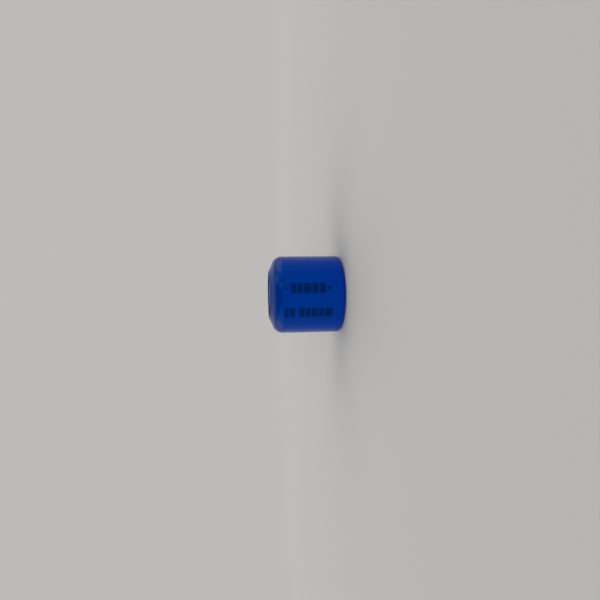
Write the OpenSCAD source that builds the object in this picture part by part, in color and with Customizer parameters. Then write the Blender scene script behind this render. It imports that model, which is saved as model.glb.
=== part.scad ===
// Lithium camera cell of the one-third N size, standing on its positive end.
// The positive pole is the deep-drawn can, and the negative pole is the cap crimped into its mouth.
// A shrunk film sleeve covers the can's side, folds under it, and runs up to the cap's edge.
// The axis is Z. The marks on the sleeve face -Y and read with the cell lying on its side.

/* [Cell] */
// Diameter over the sleeve
cell_d = 11.6; // [11.6:0.1:11.8]
// Height from the positive contact to the sleeve's rim around the negative contact
cell_h = 10.8; // [10.8:0.1:11.2]

/* [Sleeve] */
// Thickness of the shrunk film
film_t = 0.1; // [0.08:0.01:0.1]
// Radius of the hole in the film at the positive end
film_hole_r = 4.45; // [4.3:0.05:4.8]
// Angle that the film turns through over the negative shoulder, before it runs straight to its rim
film_wrap = 67; // [64:1:69]

/* [Marks] */
// Thickness of a printed mark
ink_t = 0.03; // [0.02:0.01:0.05]
// Height of a printed line, measured around the cell
line_h = 1.45; // [1.2:0.05:1.6]
// Angle of the first line's middle around the axis, from the front
line_1_turn = 8; // [0:1:20]
// Angle of the second line's middle around the axis, from the front
line_2_turn = -27.5; // [-40:0.5:-20]
// Length of each arm of the polarity signs
sign_w = 0.66; // [0.5:0.02:0.8]
// Width of the strokes of the polarity signs
stroke = 0.24; // [0.15:0.01:0.35]

/* [Can] */
// Sheet thickness of the can
can_t = 0.25; // [0.2:0.01:0.25]
// Outer radius of the can's bottom corner
corner_r = 0.55; // [0.45:0.05:0.55]
// Radius of the raised disc that is the positive contact
contact_r = 4.2; // [3.8:0.1:4.2]
// Height that the contact disc stands out
contact_step = 0.12; // [0.12:0.01:0.15]
// Outside radius of each of the bends that make the bead
bead_r = 0.3; // [0.28:0.01:0.3]
// Outer radius of the shoulder that is crimped over the gasket
shoulder_r = 1.5; // [1.4:0.05:1.6]
// Distance of the shoulder's centre below the sleeve's rim
shoulder_drop = 2; // [1.94:0.02:2]
// Angle that the can's lip turns through over the gasket
crimp_turn = 76; // [72:1:78]

/* [Cap] */
// Sheet thickness of the cap
cap_t = 0.25; // [0.2:0.01:0.28]
// Depth of the negative contact below the sleeve's rim
cap_drop = 0.15; // [0.15:0.01:0.25]
// Outer radius of the cap's crown
crown_r = 4.05; // [4:0.05:4.1]
// Outer radius of the crown's top edge
crown_edge = 0.6; // [0.5:0.05:0.7]
// Outer radius of the cap's flange
flange_r = 5; // [4.9:0.05:5.1]
// Height of the flange's underside above the shoulder's centre
flange_rise = 0.44; // [0.4:0.02:0.5]

/* [Gasket] */
// Depth of the gasket's lower edge below the shoulder's centre
gasket_drop = 0.2; // [0.1:0.05:0.25]

/* [Electrode roll] */
// Radius of the hole left by the winding pin
core_r = 1.3; // [1.2:0.05:1.3]
// Thickness of each separator film
separator_t = 0.1; // [0.08:0.01:0.1]
// Thickness of the lithium strip
lithium_t = 0.26; // [0.2:0.01:0.26]
// Thickness of the cathode strip
cathode_t = 0.46; // [0.4:0.01:0.46]
// Height of the separators
separator_h = 6.7; // [6.2:0.1:6.7]
// Distance of the cathode's edges inside the separators' edges
cathode_inset = 0.3; // [0.2:0.05:0.5]
// Distance of the lithium's edges inside the separators' edges
lithium_inset = 0.45; // [0.3:0.05:0.6]
// Angle that the separators run on past the end of the electrodes
overrun = 24; // [12:12:36]

/* [Tabs and insulators] */
// Thickness of both nickel tabs
tab_t = 0.1; // [0.08:0.01:0.1]
// Inner radius of each tab's bend
tab_bend = 0.15; // [0.12:0.01:0.18]
// Width of the tab on the lithium strip
anode_tab_w = 1.2; // [1:0.1:1.2]
// Distance of that tab from the axis
anode_tab_x = 1.45; // [1.42:0.01:1.48]
// Length of that tab's foot under the cap, measured past the axis
anode_foot = 1.5; // [1:0.1:2]
// Width of the tab on the cathode strip
cathode_tab_w = 1.6; // [1.2:0.1:1.6]
// Distance of that tab's inner face from the axis
cathode_tab_x = 5; // [4.96:0.01:5.02]
// Distance of that tab's end below the cathode's upper edge
cathode_tab_drop = 1.15; // [0.5:0.05:3]
// Distance from the axis at which that tab's foot ends on the can's floor
cathode_foot_x = 3.2; // [3:0.1:3.6]
// Thickness of both insulating discs
disc_t = 0.2; // [0.15:0.01:0.25]
// Radius of the disc under the roll
bottom_disc_r = 5.3; // [5:0.05:5.35]
// Radius of the disc over the roll
top_disc_r = 5.2; // [5:0.05:5.25]
// Radius of the hole in the disc under the roll
bottom_hole_r = 1; // [0.8:0.1:1.5]
// Radius of the hole in the disc over the roll
top_hole_r = 2.1; // [2:0.05:2.4]

/* [Hidden] */
$fn = 96;

sleeve_r = cell_d / 2;
can_r = sleeve_r - film_t;
can_inner_r = can_r - can_t;
floor_z = contact_step + can_t;
film_gap = contact_step - film_t;
corner_x = can_r - corner_r;
corner_z = contact_step + corner_r;
contact_edge = 0.1;
bend_x = can_r - bead_r;
shoulder_x = can_r - shoulder_r;
shoulder_z = cell_h - shoulder_drop;
bead_z = shoulder_z - 2 * bead_r;
bead_foot_z = bead_z - 2 * bead_r;

// The gasket's bare ring starts at the can's lip and ends inside the cap's wall, which cuts it off.
gasket_turn = 110;

rim_run = (shoulder_drop - (shoulder_r + film_t) * sin(film_wrap)) / cos(film_wrap);

cap_top = cell_h - cap_drop;
flange_z = shoulder_z + flange_rise;
cap_bend = 0.15;

// Every strip is wound three and a half turns, with thirty flats to a turn.
turns = 3.5;
segments = 30;
step_angle = 360 / segments;
wound = turns * 360;
pitch = 2 * separator_t + lithium_t + cathode_t;
bottom_disc_z = floor_z + tab_t;
roll_z = bottom_disc_z + disc_t;
disc_flat_x = cathode_tab_x - tab_bend - 0.05;

// Lower and upper ends, along the axis, of the blocks in place of type on each line.
line_1_blocks = [[7.1, 7.95], [6.3, 6.95], [5.05, 6.15], [4.05, 4.9], [2.95, 3.9]];
line_2_blocks = [[8.25, 8.85], [7.4, 8.1], [5.95, 6.75], [5.15, 5.8], [4.1, 5], [3.2, 3.95], [2, 3.05]];
minus_z = 8.64;
plus_z = 2.42;

// Part of a flat ring about [x, y], from angle a to angle b, with b - a at most 120 degrees.
module band(x, y, r_in, r_out, a, b) {
    reach = 2 * r_out;
    mid = (a + b) / 2;
    translate([x, y])
        intersection() {
            difference() {
                circle(r_out);
                circle(r_in);
            }
            polygon([[0, 0], reach * [cos(a), sin(a)], reach * [cos(mid), sin(mid)],
                     reach * [cos(b), sin(b)]]);
        }
}

// Rectangle from corner [x0, y0] to corner [x1, y1].
module block(x0, y0, x1, y1) {
    translate([x0, y0])
        square([x1 - x0, y1 - y0]);
}

// Radial section of the can: contact disc, floor, corner, wall, bead and crimped shoulder.
module can_section() {
    block(0, 0, contact_r - contact_edge, can_t);
    block(0, contact_edge, contact_r, can_t);
    intersection() {
        translate([contact_r - contact_edge, contact_edge])
            circle(contact_edge);
        block(contact_r - contact_edge, 0, contact_r, contact_edge);
    }
    block(contact_r - can_t, contact_step, corner_x, floor_z);
    band(corner_x, corner_z, corner_r - can_t, corner_r, -90, 0);
    block(can_inner_r, corner_z, can_r, bead_foot_z);
    band(bend_x, bead_foot_z, bead_r - can_t, bead_r, 0, 90);
    band(bend_x, bead_z, bead_r, bead_r + can_t, 90, 180);
    band(bend_x, bead_z, bead_r, bead_r + can_t, 180, 270);
    band(bend_x, shoulder_z, bead_r - can_t, bead_r, -90, 0);
    band(shoulder_x, shoulder_z, shoulder_r - can_t, shoulder_r, 0, crimp_turn);
}

// Radial section of the cap: flat crown, rounded edge, wall, and the flange that the gasket grips.
module cap_section() {
    block(0, cap_top - cap_t, crown_r - crown_edge, cap_top);
    band(crown_r - crown_edge, cap_top - crown_edge, crown_edge - cap_t, crown_edge, 0, 90);
    block(crown_r - cap_t, flange_z + cap_t + cap_bend, crown_r, cap_top - crown_edge);
    band(crown_r + cap_bend, flange_z + cap_t + cap_bend, cap_bend, cap_t + cap_bend, 180, 270);
    block(crown_r + cap_bend, flange_z, flange_r, flange_z + cap_t);
}

// Radial section of the gasket: it fills the mouth between the can's bead and lip and the cap.
module gasket_section() {
    difference() {
        union() {
            intersection() {
                union() {
                    translate([shoulder_x, shoulder_z])
                        circle(shoulder_r - can_t);
                    band(shoulder_x, shoulder_z, shoulder_r - can_t, shoulder_r, crimp_turn, gasket_turn);
                }
                block(crown_r, shoulder_z, can_inner_r, cell_h);
            }
            block(crown_r, shoulder_z - gasket_drop, can_inner_r, shoulder_z);
        }
        can_section();
        cap_section();
    }
}

// One wound strip: its inner face starts at radius r and moves out by one pitch a turn.
module wound_strip(r, thickness, z, height, end) {
    count = end / step_angle;
    inner = [for (i = [0:count])
        let (a = i * step_angle) (r + pitch * a / 360) * [cos(a), sin(a)]];
    outer = [for (i = [count:-1:0])
        let (a = i * step_angle) (r + thickness + pitch * a / 360) * [cos(a), sin(a)]];
    translate([0, 0, z])
        linear_extrude(height)
            polygon(concat(inner, outer));
}

// A block through the sleeve's wall, of the given size around and along the cell, about turn and z.
module stamp(turn, z, around, along) {
    rotate([0, 0, turn])
        translate([-around / 2, -sleeve_r - 1, z - along / 2])
            cube([around, 2, along]);
}

// A row of blocks of one height, each from its lower to its upper end along the cell.
module stamp_row(spans, turn) {
    for (span = spans)
        stamp(turn, (span[0] + span[1]) / 2, line_h, span[1] - span[0]);
}

module sleeve() {
    color([0.0, 0.18, 0.53])
        rotate_extrude() {
            block(film_hole_r, film_gap, corner_x, contact_step);
            band(corner_x, corner_z, corner_r, corner_r + film_t, -90, 0);
            block(can_r, corner_z, sleeve_r, shoulder_z);
            band(shoulder_x, shoulder_z, shoulder_r, shoulder_r + film_t, 0, film_wrap);
            translate([shoulder_x, shoulder_z])
                rotate(film_wrap)
                    block(shoulder_r, 0, shoulder_r + film_t, rim_run);
        }
}

// Ink on the sleeve: the two polarity signs, and plain blocks in place of type.
module sleeve_print() {
    color([0.01, 0.08, 0.28])
        intersection() {
            difference() {
                cylinder(h = shoulder_z + 1, r = sleeve_r + ink_t);
                translate([0, 0, -1])
                    cylinder(h = shoulder_z + 3, r = sleeve_r);
            }
            union() {
                stamp_row(line_1_blocks, line_1_turn);
                stamp_row(line_2_blocks, line_2_turn);
                stamp(line_1_turn, minus_z, stroke, sign_w);
                stamp(line_1_turn, plus_z, stroke, sign_w);
                stamp(line_1_turn, plus_z, sign_w, stroke);
            }
        }
}

module can() {
    color([0.72, 0.72, 0.7])
        rotate_extrude()
            can_section();
}

module gasket() {
    color([0.8, 0.81, 0.8])
        rotate_extrude()
            gasket_section();
}

module cap() {
    color([0.78, 0.78, 0.76])
        rotate_extrude()
            cap_section();
}

module top_insulator() {
    color([0.85, 0.86, 0.85])
        translate([0, 0, roll_z + separator_h])
            difference() {
                cylinder(h = disc_t, r = top_disc_r);
                translate([0, 0, -disc_t])
                    cylinder(h = 3 * disc_t, r = top_hole_r);
            }
}

// The flat on the disc's edge leaves room for the cathode tab.
module bottom_insulator() {
    color([0.85, 0.86, 0.85])
        translate([0, 0, bottom_disc_z])
            difference() {
                cylinder(h = disc_t, r = bottom_disc_r);
                translate([0, 0, -disc_t])
                    cylinder(h = 3 * disc_t, r = bottom_hole_r);
                translate([-2 * bottom_disc_r - disc_flat_x, -bottom_disc_r, -disc_t])
                    cube([2 * bottom_disc_r, 2 * bottom_disc_r, 3 * disc_t]);
            }
}

module inner_separator() {
    color([0.93, 0.93, 0.9])
        wound_strip(core_r, separator_t, roll_z, separator_h, wound + overrun);
}

module lithium_strip() {
    color([0.7, 0.7, 0.72])
        wound_strip(core_r + separator_t, lithium_t, roll_z + lithium_inset,
                    separator_h - 2 * lithium_inset, wound);
}

module outer_separator() {
    color([0.93, 0.93, 0.9])
        wound_strip(core_r + separator_t + lithium_t, separator_t, roll_z, separator_h, wound + overrun);
}

module cathode_strip() {
    color([0.16, 0.16, 0.17])
        wound_strip(core_r + 2 * separator_t + lithium_t, cathode_t, roll_z + cathode_inset,
                    separator_h - 2 * cathode_inset, wound);
}

// Nickel strip from the inner end of the lithium, up the roll's core, to the inside of the cap.
module anode_tab() {
    bend_out = tab_bend + tab_t;
    x = anode_tab_x + tab_t;
    z = cap_top - cap_t;
    color([0.75, 0.74, 0.7])
        rotate([90, 0, 0])
            linear_extrude(anode_tab_w) {
                block(anode_tab_x, roll_z + lithium_inset, x, z - bend_out);
                band(x - bend_out, z - bend_out, tab_bend, bend_out, 0, 90);
                block(-anode_foot, z - tab_t, x - bend_out, z);
            }
}

// Nickel strip from the outer end of the cathode, down beside the roll, to the can's floor.
module cathode_tab() {
    bend_out = tab_bend + tab_t;
    x = -cathode_tab_x - tab_t;
    top = roll_z + separator_h - cathode_inset - cathode_tab_drop;
    color([0.75, 0.74, 0.7])
        rotate([90, 0, 0])
            linear_extrude(cathode_tab_w) {
                block(x, floor_z + bend_out, x + tab_t, top);
                band(x + bend_out, floor_z + bend_out, tab_bend, bend_out, 180, 270);
                block(x + bend_out, floor_z, -cathode_foot_x, floor_z + tab_t);
            }
}

sleeve();
sleeve_print();
can();
gasket();
cap();
top_insulator();
bottom_insulator();
cathode_strip();
lithium_strip();
inner_separator();
outer_separator();
anode_tab();
cathode_tab();
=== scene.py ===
"""A lithium camera cell, standing on its positive end, finished for rendering. Lengths are in metres."""
import math

import bpy
import numpy as np
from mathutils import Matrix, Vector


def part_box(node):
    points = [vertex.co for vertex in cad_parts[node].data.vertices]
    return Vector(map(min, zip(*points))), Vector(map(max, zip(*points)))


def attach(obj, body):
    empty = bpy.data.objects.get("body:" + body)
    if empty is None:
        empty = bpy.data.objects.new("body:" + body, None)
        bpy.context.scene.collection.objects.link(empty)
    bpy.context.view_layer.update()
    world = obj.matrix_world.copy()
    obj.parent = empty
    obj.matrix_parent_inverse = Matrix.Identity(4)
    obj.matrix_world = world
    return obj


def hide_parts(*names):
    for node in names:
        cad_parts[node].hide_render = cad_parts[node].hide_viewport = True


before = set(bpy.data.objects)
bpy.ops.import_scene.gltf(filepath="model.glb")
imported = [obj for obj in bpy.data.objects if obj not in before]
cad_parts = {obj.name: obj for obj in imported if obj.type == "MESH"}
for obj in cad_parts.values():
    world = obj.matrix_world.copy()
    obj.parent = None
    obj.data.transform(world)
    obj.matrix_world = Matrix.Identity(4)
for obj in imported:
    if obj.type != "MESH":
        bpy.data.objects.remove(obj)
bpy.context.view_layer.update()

# ----------------------------------------------------------------------------------------------------
# Can: the cell's body and its positive pole, deep-drawn from nickel-plated steel sheet in one piece.
# Its floor carries a raised contact disc, a bead is rolled in under the mouth, and the mouth is
# crimped inwards over the gasket. Only the floor shows, because the sleeve covers the rest.
# ----------------------------------------------------------------------------------------------------
mm = 0.001
sheet = 0.25 * mm
can_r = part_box("can")[1].x
contact_r = 4.2 * mm
contact_step = 0.12 * mm
contact_edge = 0.1 * mm
corner_r = 0.55 * mm
wall_foot = 1 * mm
bead_r = 0.3 * mm
shoulder_r = 1.5 * mm
crimp_turn = 76
cell_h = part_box("sleeve")[1].z
shoulder_z = cell_h - 2 * mm
shoulder_x = can_r - shoulder_r
bead_z = shoulder_z - 2 * bead_r
floor_welds = [(2.9 * mm, -0.2 * mm), (3.35 * mm, 0.55 * mm)]
floor_weld_r = 0.4 * mm
weld_depth = 0.014 * mm
can_dull_r = contact_r - 0.4 * mm
step_round = 0.02 * mm
pole_r = 0.05 * mm
hidden_pole_r = 0.6 * mm
around = 384


def arc(x, z, radius, start, end, count):
    """Points (x + radius cos t, z + radius sin t) on a circle, for t from start to end in degrees."""
    t = np.radians(np.linspace(start, end, count))
    return np.stack([x + radius * np.cos(t), z + radius * np.sin(t)], axis=1)


def run(start, end, count):
    """Points at equal steps on the straight line from start to end, both included."""
    return np.linspace(start, end, count)


def fan(middle, ring):
    """Triangles from the point numbered middle to each pair of neighbours on a ring, in its order."""
    return np.stack([np.full(len(ring), middle), ring, np.roll(ring, -1)], axis=1).tolist()


def shaped(name, points, faces):
    """An object at the origin with these points and faces, shaded smooth and put in the scene."""
    mesh = bpy.data.meshes.new(name)
    mesh.from_pydata(points.tolist(), [], faces)
    mesh.polygons.foreach_set("use_smooth", np.ones(len(faces), bool))
    mesh.update()
    piece = bpy.data.objects.new(name, mesh)
    bpy.context.scene.collection.objects.link(piece)
    return piece


def surface(name, radius, height, angle, loop=False):
    """Mesh of points (radius cos angle, radius sin angle, height) about the Z axis.

    radius and height hold a row for each ring and a column for each angle. Every ring closes on itself.
    With loop the last ring joins the first; otherwise a pole on the axis closes each end."""
    rings, columns = radius.shape
    points = np.stack([radius * np.cos(angle), radius * np.sin(angle), height], axis=-1).reshape(-1, 3)
    first = np.arange(rings * columns).reshape(rings, columns)
    lower, upper = (first, np.roll(first, -1, axis=0)) if loop else (first[:-1], first[1:])
    quads = np.stack([lower, np.roll(lower, -1, axis=1), np.roll(upper, -1, axis=1), upper], axis=-1)
    faces = quads.reshape(-1, 4).tolist()
    if not loop:
        poles = np.array([[0, 0, height[0].mean()], [0, 0, height[-1].mean()]])
        bottom, top = len(points), len(points) + 1
        points = np.concatenate([points, poles])
        faces += fan(bottom, first[0][::-1]) + fan(top, first[-1])
    return shaped(name, points, faces)


def turned(name, profile, loop=False):
    """Surface of revolution: each (radius, height) of the profile becomes one ring about the Z axis."""
    angle = np.arange(around) * 2 * np.pi / around
    radius = np.repeat(profile[:, :1], around, axis=1)
    height = np.repeat(profile[:, 1:], around, axis=1)
    return surface(name, radius, height, angle, loop)


def dent(piece, places, radius, depth, level, inwards):
    """Sinks shallow round dimples into the flat face at this level, up for inwards 1 and down for -1.

    At a distance d from a dimple's middle the face moves by depth cos^2(pi d / 2 radius), and not at all
    past radius."""
    points = np.empty(len(piece.data.vertices) * 3)
    piece.data.vertices.foreach_get("co", points)
    points = points.reshape(-1, 3)
    away = np.linalg.norm(points[:, None, :2] - np.array(places), axis=2)
    depths = depth * np.cos(np.pi / 2 * np.clip(away / radius, 0, 1)) ** 2
    on_face = np.abs(points[:, 2] - level) < 0.0001 * mm
    points[:, 2] += inwards * depths.sum(axis=1) * on_face
    piece.data.vertices.foreach_set("co", points.ravel())
    piece.data.update()


class Socket:
    """One output of a node. Arithmetic on it adds Math nodes to the same material."""

    def __init__(self, tree, output):
        self.tree = tree
        self.output = output

    def math(self, operation, *others):
        """The result of this operation on the output and the others, in that order."""
        return self.tree.add("ShaderNodeMath", {"operation": operation}, dict(enumerate([self, *others])))

    def __add__(self, other):
        return self.math("ADD", other)

    def __sub__(self, other):
        return self.math("SUBTRACT", other)

    def __mul__(self, other):
        return self.math("MULTIPLY", other)

    def __pow__(self, other):
        return self.math("POWER", other)

    def __rsub__(self, other):
        return self.tree.add("ShaderNodeMath", {"operation": "SUBTRACT"}, {0: other, 1: self})

    __radd__ = __add__
    __rmul__ = __mul__

    def ease(self, low, high):
        """0 below low, 1 above high, and a smooth step between them."""
        inputs = {"Value": self, "From Min": low, "From Max": high}
        return self.tree.add("ShaderNodeMapRange", {"interpolation_type": "SMOOTHSTEP"}, inputs)

    def beside(self, name):
        """Another output of the same node."""
        return Socket(self.tree, self.output.node.outputs[name])


class Nodes:
    """The nodes of one material or world, which end in the output node of this kind."""

    def __init__(self, owner, end):
        owner.use_nodes = True
        self.tree = owner.node_tree
        self.tree.nodes.clear()
        self.end = self.tree.nodes.new(end)

    def add(self, kind, settings=None, inputs=None):
        """A node of this kind, settings made first and then inputs. Gives its first enabled output."""
        node = self.tree.nodes.new(kind)
        for name, value in (settings or {}).items():
            setattr(node, name, value)
        self.feed(node, inputs or {})
        return Socket(self, next(output for output in node.outputs if output.enabled))

    def feed(self, node, inputs):
        """Gives each input of a node, by its name or number, a value or a link from a Socket."""
        for name, value in inputs.items():
            if isinstance(value, Socket):
                self.tree.links.new(value.output, node.inputs[name])
            else:
                node.inputs[name].default_value = value

    def ray_is(self, kind):
        """1 for rays of this kind, such as Camera, and 0 for the others."""
        return self.add("ShaderNodeLightPath").beside(f"Is {kind} Ray")


class Finish(Nodes):
    """A material built up from nodes round one Principled shader."""

    def __init__(self, name):
        self.material = bpy.data.materials.new(name)
        super().__init__(self.material, "ShaderNodeOutputMaterial")
        self.shader = self.add("ShaderNodeBsdfPrincipled")
        self.feed(self.end, {"Surface": self.shader})
        self.place = self.add("ShaderNodeTexCoord").beside("Object")

    def noise(self, scale, detail=3, roughness=0.5, place=None):
        """Smooth noise of about 0 to 1 with this many waves to a metre."""
        inputs = {"Vector": place or self.place, "Scale": scale, "Detail": detail, "Roughness": roughness}
        return self.add("ShaderNodeTexNoise", None, inputs)

    def drawn_out(self, across, along, detail=3):
        """Noise with its own number of waves to a metre across the cell and along its axis."""
        inputs = {"Vector": self.place, "Scale": (across, across, along)}
        return self.noise(1.0, detail, 0.6, self.add("ShaderNodeMapping", None, inputs))

    def lines_at(self, degrees, along, across):
        """Noise in straight lines at this angle on a flat end of the cell, with this many waves to a metre
        along the lines and across them."""
        x, y, z = self.axes()
        cos, sin = math.cos(math.radians(degrees)), math.sin(math.radians(degrees))
        place = {0: (x * cos + y * sin) * along, 1: (y * cos - x * sin) * across, 2: z * along}
        return self.noise(1.0, 3, 0.6, self.add("ShaderNodeCombineXYZ", None, place))

    def axes(self):
        """The three coordinates of the place on the piece."""
        x = self.add("ShaderNodeSeparateXYZ", None, {0: self.place})
        return x, x.beside("Y"), x.beside("Z")

    def from_axis(self):
        """Distance from the cell's axis."""
        x, y, _ = self.axes()
        return (x * x + y * y) ** 0.5

    def blend(self, share, low, high):
        """The colour low where share is 0 and high where it is 1. Either may be a Socket."""
        low, high = [colour if isinstance(colour, Socket) else (*colour, 1) for colour in (low, high)]
        return self.add("ShaderNodeMix", {"data_type": "RGBA"}, {0: share, 6: low, 7: high})

    def bump(self, height, distance, strength):
        """A normal from a height of 0 to 1 that stands for this distance in metres."""
        inputs = {"Height": height, "Distance": distance, "Strength": strength}
        return self.add("ShaderNodeBump", None, inputs)

    def shade(self, **inputs):
        """Sets the Principled shader's inputs, with underscores for the spaces in their names."""
        spaced = {name.replace("_", " "): value for name, value in inputs.items()}
        self.feed(self.shader.output.node, spaced)
        return self.material


def dress(piece, material):
    """Gives a piece one material and drops what it had."""
    piece.data.materials.clear()
    piece.data.materials.append(material)


def plated_steel(name, colour, dull_ring, dullness):
    """Bright nickel plate with rolling grain and a few scratches, duller past the radius dull_ring."""
    steel = Finish(name)
    grain = steel.lines_at(20, along=500, across=13000)
    scratches = steel.lines_at(-38, along=700, across=15000).ease(0.64, 0.72)
    crossing = steel.lines_at(71, along=900, across=17000).ease(0.66, 0.74)
    scratched = scratches + crossing
    cloud = steel.noise(900, 4, 0.6)
    dulled = steel.from_axis() + (cloud - 0.5) * 0.5 * mm
    ring = dulled.ease(dull_ring, dull_ring + 0.5 * mm)
    darker = tuple(0.62 * c for c in colour)
    worn = grain.ease(0.3, 0.75) * 0.3 + scratched * 0.4 + cloud.ease(0.5, 0.8) * 0.15 + ring * 0.45
    return steel.shade(
        Base_Color=steel.blend(worn, colour, darker),
        Metallic=1.0,
        Roughness=dullness + grain * 0.05 + scratched * 0.15 + ring * 0.1,
        Normal=steel.bump(grain * 0.6 + scratched, 0.001 * mm, 0.6),
    )


can_profile = np.concatenate([
    run((pole_r, 0), (contact_r - contact_edge, 0), 70),
    arc(contact_r - contact_edge, contact_edge, contact_edge, -75, 0, 5),
    run((contact_r, contact_step), (can_r - corner_r, contact_step), 5),
    arc(can_r - corner_r, contact_step + corner_r, corner_r, -80, 0, 9),
    run((can_r, wall_foot), (can_r, bead_z - 2 * bead_r), 8),
    arc(can_r - bead_r, bead_z - 2 * bead_r, bead_r, 15, 90, 6),
    arc(can_r - bead_r, bead_z, bead_r, 255, 105, 11),
    arc(can_r - bead_r, shoulder_z, bead_r, -90, 0, 7),
    arc(shoulder_x, shoulder_z, shoulder_r, 6, crimp_turn, 14),
    arc(shoulder_x, shoulder_z, shoulder_r - sheet, crimp_turn, 0, 14),
    arc(can_r - bead_r, shoulder_z, bead_r - sheet, -15, -90, 4),
    arc(can_r - bead_r, bead_z, bead_r + sheet, 105, 255, 13),
    arc(can_r - bead_r, bead_z - 2 * bead_r, bead_r - sheet, 90, 0, 4),
    run((can_r - sheet, bead_z - 3 * bead_r), (can_r - sheet, wall_foot), 8),
    arc(can_r - corner_r, contact_step + corner_r, corner_r - sheet, 0, -90, 7),
    run((contact_r - step_round, contact_step + sheet), (contact_r - sheet, contact_step + sheet), 3),
    run((contact_r - sheet, sheet), (hidden_pole_r, sheet), 8),
])
can = turned("can_shell", can_profile)
dent(can, floor_welds, floor_weld_r, weld_depth, 0, inwards=1)
dress(can, plated_steel("nickel_plated_can", (0.62, 0.6, 0.56), can_dull_r, dullness=0.18))
can.data.set_sharp_from_angle(angle=math.radians(50))
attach(can, "root")
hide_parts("can")

# ----------------------------------------------------------------------------------------------------
# Gasket: an injection-moulded polypropylene ring squeezed between the can's mouth and the cap's
# flange. It seals the cell and keeps the two poles apart. The film hides all of it.
# ----------------------------------------------------------------------------------------------------
crown_r = 4.05 * mm
flange_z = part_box("cap")[0].z
flange_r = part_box("cap")[1].x
gasket_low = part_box("gasket")[0].z
gasket_foot_r = can_r - bead_r - 0.39 * mm
gasket_top = shoulder_z + 1.48 * mm
cap_bend = 0.15 * mm
lip_gap = 0.012 * mm
mouth_sink = 0.02 * mm

gasket_profile = np.concatenate([
    run((crown_r, gasket_low), (gasket_foot_r, gasket_low), 6),
    arc(can_r - bead_r, bead_z, bead_r + sheet, 132, 90, 8),
    arc(shoulder_x, shoulder_z, shoulder_r - sheet - lip_gap, 3, crimp_turn, 16),
    arc(shoulder_x, shoulder_z, shoulder_r - mouth_sink, crimp_turn + 1, 95.5, 10),
    run((crown_r, gasket_top), (crown_r, flange_z + sheet + cap_bend), 10),
    arc(crown_r + cap_bend, flange_z + sheet + cap_bend, cap_bend, 180, 270, 5),
    run((crown_r + cap_bend, flange_z + sheet), (flange_r, flange_z + sheet), 5),
    run((flange_r, flange_z), (crown_r + cap_bend, flange_z), 5),
])
gasket = turned("gasket_ring", gasket_profile, loop=True)
plastic = Finish("natural_polypropylene")
mottle = plastic.noise(2600, 3)
flow = plastic.drawn_out(across=2500, along=9000)
dress(gasket, plastic.shade(
    Base_Color=plastic.blend(mottle.ease(0.3, 0.75), (0.5, 0.5, 0.48), (0.64, 0.64, 0.61)),
    Roughness=0.36 + flow * 0.16,
    Normal=plastic.bump(flow, 0.006 * mm, 0.5),
    Subsurface_Weight=0.2,
    Subsurface_Radius=(0.4, 0.4, 0.4),
    Subsurface_Scale=0.4 * mm,
))
gasket.data.set_sharp_from_angle(angle=math.radians(40))
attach(gasket, "root")
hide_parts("gasket")

# ----------------------------------------------------------------------------------------------------
# Cap: the negative pole, pressed from nickel-plated steel sheet. Its crown stands out of the mouth
# as a flat contact with a rounded edge, and its flange sits in the gasket.
# ----------------------------------------------------------------------------------------------------
crown_edge = 0.6 * mm
crown_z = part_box("cap")[1].z
flange_edge = 0.03 * mm
cap_welds = [(-0.75 * mm, 0.35 * mm), (0.55 * mm, -0.3 * mm)]
cap_weld_r = 0.42 * mm
cap_dull_r = 3.0 * mm

cap_profile = np.concatenate([
    run((hidden_pole_r, crown_z - sheet), (crown_r - crown_edge, crown_z - sheet), 8),
    arc(crown_r - crown_edge, crown_z - crown_edge, crown_edge - sheet, 78, 0, 7),
    arc(crown_r + cap_bend, flange_z + sheet + cap_bend, cap_bend + sheet, 180, 270, 9),
    run((crown_r + 2 * cap_bend, flange_z), (flange_r - flange_edge, flange_z), 4),
    run((flange_r, flange_z + flange_edge), (flange_r, flange_z + sheet - flange_edge), 3),
    run((flange_r - flange_edge, flange_z + sheet), (crown_r + 2 * cap_bend, flange_z + sheet), 4),
    arc(crown_r + cap_bend, flange_z + sheet + cap_bend, cap_bend, 270, 180, 6),
    run((crown_r, flange_z + sheet + 2 * cap_bend), (crown_r, crown_z - crown_edge), 6),
    arc(crown_r - crown_edge, crown_z - crown_edge, crown_edge, 8, 84, 14),
    run((crown_r - crown_edge, crown_z), (pole_r, crown_z), 70),
])
cap = turned("cap_crown", cap_profile)
dent(cap, cap_welds, cap_weld_r, weld_depth, crown_z, inwards=-1)
dress(cap, plated_steel("nickel_plated_cap", (0.6, 0.58, 0.54), cap_dull_r, dullness=0.1))
cap.data.set_sharp_from_angle(angle=math.radians(50))
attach(cap, "root")
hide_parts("cap")

# ----------------------------------------------------------------------------------------------------
# Sleeve: a tube of glossy blue vinyl film, shrunk over the can with hot air. It folds under the can,
# and runs in over the crimped mouth and the cap's rounded edge. The spare width there gathers in small
# puckers, and the tube's two lay-flat folds stay as faint lines along its sides.
# ----------------------------------------------------------------------------------------------------
film = 0.1 * mm
rim_film = 0.13 * mm
sleeve_r = can_r + film
film_hole_r = 4.45 * mm
film_wrap = math.radians(67)
hole_fold = 0.7 * mm
hole_wave = 0.05 * mm
wall_wave = 0.006 * mm
run_sink = 0.012 * mm
fold_h = 0.012 * mm
sag_depth = 0.022 * mm
sag_reach = 0.34 * mm
fine_around = 672
random = np.random.default_rng(31)


def waves(angle, low, high, count):
    """Sum of count cosines around the cell over the root of count. Each has a random size, a random start
    and a random whole number of waves from low to high."""
    number = random.integers(low, high + 1, count)[:, None]
    size = random.uniform(0.4, 1.0, count)[:, None]
    phase = random.uniform(0, 2 * np.pi, count)[:, None]
    return (size * np.cos(number * angle + phase)).sum(axis=0) / math.sqrt(count)


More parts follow.
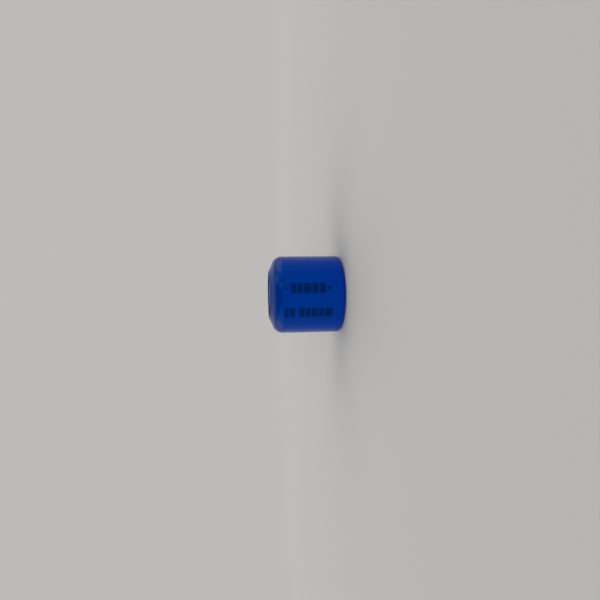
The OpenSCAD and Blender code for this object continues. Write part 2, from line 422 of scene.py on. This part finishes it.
def bead_sag(height):
    """How far the film sinks into the rolled bead, as a lift below 0: a bell curve about its middle."""
    return -sag_depth * np.exp(-(((height - bead_z) / sag_reach) ** 2))


def apart(angle, places):
    """Angle from each place to each point around the cell, from -pi to pi, a row for each place."""
    return (angle - np.array(places)[:, None] + np.pi) % (2 * np.pi) - np.pi


angle = np.arange(fine_around) * 2 * np.pi / fine_around
floor_x = can_r - corner_r
corner_z = contact_step + corner_r
corner_out = corner_r + film
shoulder_out = shoulder_r + film
corner_rows, over_rows = 12, 46
hole = run((film_hole_r, contact_step - film), (floor_x, contact_step - film), 7)
corner = arc(floor_x, corner_z, corner_out, -90, 0, corner_rows)[1:]
wall = run((sleeve_r, corner_z), (sleeve_r, shoulder_z), 22)[1:]
over = arc(shoulder_x, shoulder_z, shoulder_out, 0, math.degrees(film_wrap), over_rows)[1:]
rim_run = (cell_h - over[-1, 1]) / math.cos(film_wrap)
rim = run(over[-1], over[-1] + rim_run * np.array([-math.sin(film_wrap), math.cos(film_wrap)]), 21)[1:]
outer = np.concatenate([hole, corner, wall, over, rim])
tilt = np.concatenate([
    np.full(len(hole), -np.pi / 2),
    np.radians(np.linspace(-90, 0, corner_rows))[1:],
    np.zeros(len(wall)),
    np.linspace(0, film_wrap, over_rows)[1:],
    np.full(len(rim), film_wrap),
])[:, None]
out_r, out_z = np.cos(tilt), np.sin(tilt)
# share runs along the film from 0 at the top of the straight wall to 1 at the rim, and near_hole from 1
# at the edge under the can to 0.
length = np.concatenate([[0], np.cumsum(np.hypot(*np.diff(outer, axis=0).T))])
past_shoulder = length - length[len(hole) + len(corner) + len(wall) - 1]
share = np.clip(past_shoulder / past_shoulder[-1], 0, 1)[:, None]
near_hole = np.clip(1 - length / hole_fold, 0, 1)[:, None]

near_rim = np.clip((share - 0.55) / 0.45, 0, 1) ** 2
pucker_count = 44
pucker_shift = random.uniform(-0.42, 0.42, pucker_count)
pucker_place = (np.arange(pucker_count) + pucker_shift) * 2 * np.pi / pucker_count
pucker_width = np.radians(random.uniform(0.9, 2.6, pucker_count))[:, None]
pucker_height = random.uniform(0.006, 0.03, pucker_count) * mm
pucker_start = random.uniform(0.3, 0.72, pucker_count)
across = np.exp(-((apart(angle, pucker_place) / pucker_width) ** 2))
along = np.clip((share - pucker_start) / (1 - pucker_start), 0, 1) ** 1.5
lift = (along * pucker_height) @ across
crease_turn = np.radians([-52, -67, -77, -131, -166, 27, 61, 128])
crease_width = np.radians([2.8, 5.2, 3, 2.4, 4, 3, 5, 3.4])
crease_share = np.array([0.2, 0.34, 0.19, 0.3, 0.27, 0.34, 0.28, 0.36])
crease_height = np.array([0.05, 0.04, 0.026, 0.014, 0.03, 0.034, 0.03, 0.04]) * mm
crease_run, crease_reach = 0.035, 0.17 * mm
crease_across = np.exp(-((apart(angle, crease_turn) / crease_width[:, None]) ** 2))
lift += (np.exp(-(((share - crease_share) / crease_run) ** 2)) * crease_height) @ crease_across
fold_turn, fold_width = np.radians([12, -168]), np.radians(0.9)
fold_lines = np.exp(-((apart(angle, fold_turn) / fold_width) ** 2)).sum(axis=0)
lift += fold_h * fold_lines * (1 - share) * (1 - near_hole)
lift += wall_wave * waves(angle, low=2, high=5, count=3) * (1 - near_hole) * np.clip(1 - 2 * share, 0, 1)
lift -= run_sink * np.sin(np.pi * np.clip(2 * share - 1, 0, 1))
lift += bead_sag(outer[:, 1:]) * (share == 0) * (near_hole == 0)
skin_r = outer[:, :1] + lift * out_r + hole_wave * waves(angle, low=2, high=9, count=4) * near_hole ** 2
skin_z = outer[:, 1:] + lift * out_z

thick = film + (rim_film - film) * near_rim
half_turn = np.radians([20, 55, 90, 125, 160])[:, None]
edge_flatness = 0.6


def cut_edge(row, side):
    """Rings of a flattened half circle round the film's cut edge, from its outer to its inner face.

    Each is the middle of the film plus half its thickness times cos t outwards and edge_flatness sin t
    past the edge. side is 1 for the rim and -1 for the hole."""
    half = thick[row] / 2
    middle_r, middle_z = skin_r[row] - half * out_r[row], skin_z[row] - half * out_z[row]
    along_r, along_z = -out_z[row] * side, out_r[row] * side
    out, along = half * np.cos(half_turn), half * np.sin(half_turn) * edge_flatness
    return middle_r + out * out_r[row] + along * along_r, middle_z + out * out_z[row] + along * along_z


rim_ring_r, rim_ring_z = cut_edge(-1, 1)
hole_ring_r, hole_ring_z = cut_edge(0, -1)
back = np.r_[len(outer) - 1:0:-4, 0]
sleeve = surface(
    "sleeve_film",
    np.concatenate([skin_r, rim_ring_r, skin_r[back] - (thick * out_r)[back], hole_ring_r[::-1]]),
    np.concatenate([skin_z, rim_ring_z, skin_z[back] - (thick * out_z)[back], hole_ring_z[::-1]]),
    angle,
    loop=True,
)

blue = (0.0, 0.027, 0.26)
deep_blue = (0.0, 0.021, 0.2)
# A paler blue for scuffs and specks of grit, and for the painted highlights on the shoulder's creases.
scuffed_and_highlight_blue = (0.035, 0.11, 0.4)
vinyl = Finish("blue_vinyl_film")
x, y, height = vinyl.axes()
# Darker blue over the shoulder, which is painted shade, and at half strength round the bottom corner and
# the fold under the can.
darker_shoulder_and_base = height.ease(shoulder_z - 0.5 * mm, shoulder_z + 1.0 * mm)
darker_shoulder_and_base += (1 - height.ease(0.1 * mm, 0.7 * mm)) * 0.5
cloudy = vinyl.noise(260, 3)
peel = vinyl.noise(1500, 2)
grit = vinyl.noise(7000, 2)
frayed = vinyl.noise(2600, 3, 0.6)
scuffs = vinyl.drawn_out(across=650, along=9000, detail=4).ease(0.66, 0.8)
specks = grit.ease(0.75, 0.82)
turn = y.math("ARCTAN2", x)
crease_level = np.interp(crease_share, share[:, 0], outer[:, 1])
crease_strength = crease_height / crease_height.max()
# Painted highlight: each crease on the shoulder gets pale flecks in wavy bands, which also ridge the bump
# there.
lines = 0
for place, width, level, strength in zip(crease_turn, crease_width, crease_level, crease_strength):
    sideways = (turn - place) * (0.9 / width) + (frayed - 0.5) * 0.5
    upwards = (height - level) * (1 / crease_reach) + (frayed - 0.5) * 0.5
    spot = (1 - (sideways * sideways + upwards * upwards).ease(0, 2.6)) * strength
    wave = (upwards * 6 + sideways * 1.2 + frayed * 2).math("SINE") * 0.5 + 0.5
    lines += spot * wave * wave
colour = vinyl.blend(darker_shoulder_and_base + (cloudy - 0.5) * 0.35, blue, deep_blue)
dress(sleeve, vinyl.shade(
    Base_Color=vinyl.blend(lines + scuffs * 0.2 + specks * 0.25, colour, scuffed_and_highlight_blue),
    Roughness=0.13 + cloudy * 0.06 + scuffs * 0.16 + specks * 0.2,
    Normal=vinyl.bump(peel + lines * 2 + grit * 0.06 + scuffs * 0.05, 0.009 * mm, 0.4),
    Specular_Tint=(0.0, 0.8, 1.0, 1),
    IOR=1.26,
))
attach(sleeve, "root")
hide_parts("sleeve")

# ----------------------------------------------------------------------------------------------------
# Print: dark ink on the film, put on before it is shrunk. The signs mark the two poles, and plain
# blocks stand in place of type.
# ----------------------------------------------------------------------------------------------------
ink = 0.006 * mm
line_h = 1.45 * mm
line_1_turn, line_2_turn = 8, -27.5
line_1 = [(7.1, 7.95), (6.3, 6.95), (5.05, 6.15), (4.05, 4.9), (2.95, 3.9)]
line_2 = [(8.25, 8.85), (7.4, 8.1), (5.95, 6.75), (5.15, 5.8), (4.1, 5.0), (3.2, 3.95), (2.0, 3.05)]
sign, stroke = 0.66 * mm, 0.24 * mm
minus_z, plus_z = 8.64 * mm, 2.42 * mm
rim_points, rim_rings = 96, 7


def stamped(turn, height, bars):
    """Points of one flat mark wrapped on the sleeve at this turn from the front and this height.

    Its outline is the outermost of one or two rounded bars: the distance from the middle in direction t is
    (|cos t / a|^p + |sin t / b|^p)^(-1/p) for a bar of half width a and half height b. Rings from the
    middle of the top to the outline and back under it make a closed skin."""
    t = np.arange(rim_points) * 2 * np.pi / rim_points
    power = 12
    cos, sin = np.cos(t), np.sin(t)
    reach = [(np.abs(cos / a) ** power + np.abs(sin / b) ** power) ** (-1 / power) for a, b in bars]
    rim = np.max(reach, axis=0)
    shrinking = np.linspace(1, 0, rim_rings)[1:-1, None]
    flat = np.ones_like(shrinking)
    size = np.concatenate([shrinking[::-1], [[0.985], [1], [1]], shrinking])
    level = ink * np.concatenate([flat, [[1], [0.5], [-0.5]], -0.5 * flat])
    across, along = size * rim * cos, size * rim * sin
    z = height + along
    past = np.clip(z - shoulder_z, 0, None)
    radius = shoulder_x + np.sqrt(shoulder_out ** 2 - past ** 2) + bead_sag(z) * (z < shoulder_z) + level
    heading = math.radians(turn - 90) + across / sleeve_r
    return np.stack([radius * np.cos(heading), radius * np.sin(heading), z], axis=-1)


def row(turn, spans):
    """Plain blocks in one row at this turn, each between two heights in millimetres."""
    return [stamped(turn, (a + b) / 2 * mm, [(line_h / 2, (b - a) / 2 * mm)]) for a, b in spans]


marks = row(line_1_turn, line_1) + row(line_2_turn, line_2)
marks += [stamped(line_1_turn, minus_z, [(stroke / 2, sign / 2)])]
marks += [stamped(line_1_turn, plus_z, [(stroke / 2, sign / 2), (sign / 2, stroke / 2)])]
rings = marks[0].shape[0]
cells = np.arange(rings * rim_points).reshape(rings, rim_points)
near, far = cells[:-1], cells[1:]
quads = np.stack([near, far, np.roll(far, -1, axis=1), np.roll(near, -1, axis=1)], axis=-1).reshape(-1, 4)
mark_points, mark_faces = [], []
for mark in marks:
    start = sum(len(points) for points in mark_points)
    middle_top, middle_low = mark[0].mean(axis=0), mark[-1].mean(axis=0)
    mark_points.append(np.concatenate([mark.reshape(-1, 3), [middle_top, middle_low]]))
    mark_faces += (quads + start).tolist()
    top, low = start + cells.size, start + cells.size + 1
    mark_faces += fan(top, cells[0] + start) + fan(low, cells[-1][::-1] + start)
prints = shaped("printed_marks", np.concatenate(mark_points), mark_faces)

navy = Finish("navy_ink")
speckle = navy.noise(12000, 3)
dress(prints, navy.shade(
    Base_Color=navy.blend(speckle.ease(0.35, 0.7), (0.0, 0.01, 0.085), (0.0, 0.014, 0.11)),
    Roughness=0.28 + speckle * 0.12,
    Normal=navy.bump(speckle, 0.002 * mm, 0.3),
    Specular_Tint=(0.0, 0.5, 1.0, 1),
    IOR=1.3,
))
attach(prints, "root")
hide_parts("sleeve_print")

# ----------------------------------------------------------------------------------------------------
# Insides: two electrode strips and two separators wound into one roll, a nickel tab from each
# electrode, and a plastic disc at each end of the roll. All of it is sealed inside the can.
# ----------------------------------------------------------------------------------------------------
mix = Finish("manganese_dioxide_mix")
grains = mix.noise(9000, 4, 0.7)
black_mix = mix.shade(
    Base_Color=mix.blend(grains, (0.012, 0.012, 0.013), (0.035, 0.035, 0.036)),
    Roughness=0.75 + grains * 0.2,
    Normal=mix.bump(grains, 0.02 * mm, 0.6),
)
silvery = Finish("lithium_foil")
rolled = silvery.drawn_out(across=1500, along=9000)
foil = silvery.shade(
    Base_Color=silvery.blend(rolled, (0.42, 0.42, 0.44), (0.6, 0.6, 0.62)),
    Metallic=1.0,
    Roughness=0.35 + rolled * 0.2,
    Normal=silvery.bump(rolled, 0.004 * mm, 0.4),
)
porous = Finish("separator_film")
pores = porous.noise(15000, 2)
white_film = porous.shade(
    Base_Color=porous.blend(pores, (0.74, 0.74, 0.71), (0.86, 0.86, 0.84)),
    Roughness=0.5 + pores * 0.15,
    Normal=porous.bump(pores, 0.003 * mm, 0.3),
)
strip = Finish("nickel_strip")
grain = strip.drawn_out(across=9000, along=900)
nickel = strip.shade(
    Base_Color=strip.blend(grain, (0.52, 0.5, 0.45), (0.64, 0.62, 0.56)),
    Metallic=1.0,
    Roughness=0.25 + grain * 0.15,
    Normal=strip.bump(grain, 0.003 * mm, 0.4),
)
disc = Finish("insulating_disc")
haze = disc.noise(2200, 3)
clear_disc = disc.shade(
    Base_Color=disc.blend(haze, (0.6, 0.61, 0.6), (0.74, 0.75, 0.73)),
    Roughness=0.4 + haze * 0.15,
    Normal=disc.bump(haze, 0.005 * mm, 0.3),
)
inside = {
    "cathode_strip": black_mix,
    "lithium_strip": foil,
    "inner_separator": white_film,
    "outer_separator": white_film,
    "anode_tab": nickel,
    "cathode_tab": nickel,
    "top_insulator": clear_disc,
    "bottom_insulator": clear_disc,
}
for node, material in inside.items():
    dress(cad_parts[node], material)

# ----------------------------------------------------------------------------------------------------
# Floor, lamps and camera: a pale table under soft lamps, with a dark card above the front that shades
# it and the cell. The camera lies on its side, so that the standing cell reads from left to right, with
# its positive end on the right.
# ----------------------------------------------------------------------------------------------------
backdrop = (0.503, 0.497, 0.482, 1)
table_colour = (0.54, 0.534, 0.518, 1)
table_reach = 6.0
card_reach = 0.2
card_foot = (-0.32, 0.15)
card_head = (-0.04, 0.34)


def stage_sheet(name, reach, low, high, material):
    """A flat sheet that isn't part of the cell, from -reach to reach along X, between two (y, z) edges."""
    corners = np.array([(-reach, *low), (reach, *low), (reach, *high), (-reach, *high)])
    flat = shaped(name, corners, [(0, 1, 2, 3)])
    dress(flat, material)


def softbox(name, place, width, height, level, mirrored=True):
    """A lamp turned to the middle of the cell. It lights a white face turned to it to this level, and
    shows in the cell's gloss unless mirrored is False."""
    aim = np.array(place) - (0, 0, cell_h / 2)
    away = np.linalg.norm(aim)
    lamp = bpy.data.lights.new(name, "AREA")
    lamp.shape = "RECTANGLE"
    lamp.size, lamp.size_y = height, width
    lamp.energy = level * (math.pi * away) ** 2
    holder = bpy.data.objects.new(name, lamp)
    bpy.context.scene.collection.objects.link(holder)
    holder.rotation_euler = (0, math.acos(aim[2] / away), math.atan2(aim[1], aim[0]))
    holder.location = place
    holder.visible_camera = False
    holder.visible_glossy = mirrored


matt = Finish("pale_table")
matt.shade(Base_Color=table_colour, Roughness=0.9, Specular_IOR_Level=0.0)
far_off = matt.from_axis().ease(0.06, 0.2) * matt.ray_is("Camera")
glow = matt.add("ShaderNodeEmission", None, {"Color": backdrop})
fading = matt.add("ShaderNodeMixShader", None, {0: far_off, 1: matt.shader, 2: glow})
matt.feed(matt.end, {"Surface": fading})
stage_sheet("table", table_reach, (-table_reach, 0), (table_reach, 0), matt.material)
black = Finish("dark_card").shade(Base_Color=(0.02, 0.02, 0.02, 1), Roughness=0.9, Specular_IOR_Level=0.0)
stage_sheet("dark_card", card_reach, card_foot, card_head, black)

world = bpy.data.worlds.new("studio")
bpy.context.scene.world = world
studio = Nodes(world, "ShaderNodeOutputWorld")
light = studio.add("ShaderNodeBackground", None, {"Color": (1, 0.99, 0.97, 1), "Strength": 0.7})
seen = studio.add("ShaderNodeBackground", None, {"Color": backdrop})
direct = studio.ray_is("Camera").math("MAXIMUM", studio.ray_is("Glossy"))
direct = direct.math("MAXIMUM", studio.ray_is("Transmission"))
both = studio.add("ShaderNodeMixShader", None, {0: direct, 1: light, 2: seen})
studio.feed(studio.end, {"Surface": both})

softbox("front_lamp", (0, -1.0, 0.24), width=1.0, height=0.4, level=0.5, mirrored=False)
softbox("back_lamp", (0, 0.9, 0.45), width=0.8, height=0.4, level=0.25, mirrored=False)
softbox("left_lamp", (-0.85, 0, 0.4), width=1.2, height=0.7, level=0.3)
softbox("right_lamp", (0.85, 0, 0.4), width=1.2, height=0.7, level=0.3)

# aside and above: how far the cell's middle lies to the right of the view's axis, and above it.
distance = 70.33 * mm
raised = math.radians(6.18)
rolled_by = math.radians(-0.97)
aside, above = 0.646 * mm, 0.866 * mm
towards = np.array([0, -math.cos(raised), math.sin(raised)])
level_right = np.array([0, -math.sin(raised), -math.cos(raised)])
level_up = np.array([1.0, 0, 0])
right = math.cos(rolled_by) * level_right + math.sin(rolled_by) * level_up
up = math.cos(rolled_by) * level_up - math.sin(rolled_by) * level_right
stand = np.array([0, 0, cell_h / 2]) - aside * right - above * up + distance * towards
camera = bpy.data.cameras.new("camera")
camera.sensor_width = 36
camera.lens = 27.6
camera.clip_start = 0.005
camera.clip_end = 20
viewer = bpy.data.objects.new("camera", camera)
bpy.context.scene.collection.objects.link(viewer)
matrix = np.eye(4)
matrix[:3] = np.stack([right, up, towards, stand], axis=1)
viewer.matrix_world = matrix.T.tolist()
bpy.context.scene.camera = viewer
bpy.context.scene.view_settings.view_transform = "Standard"
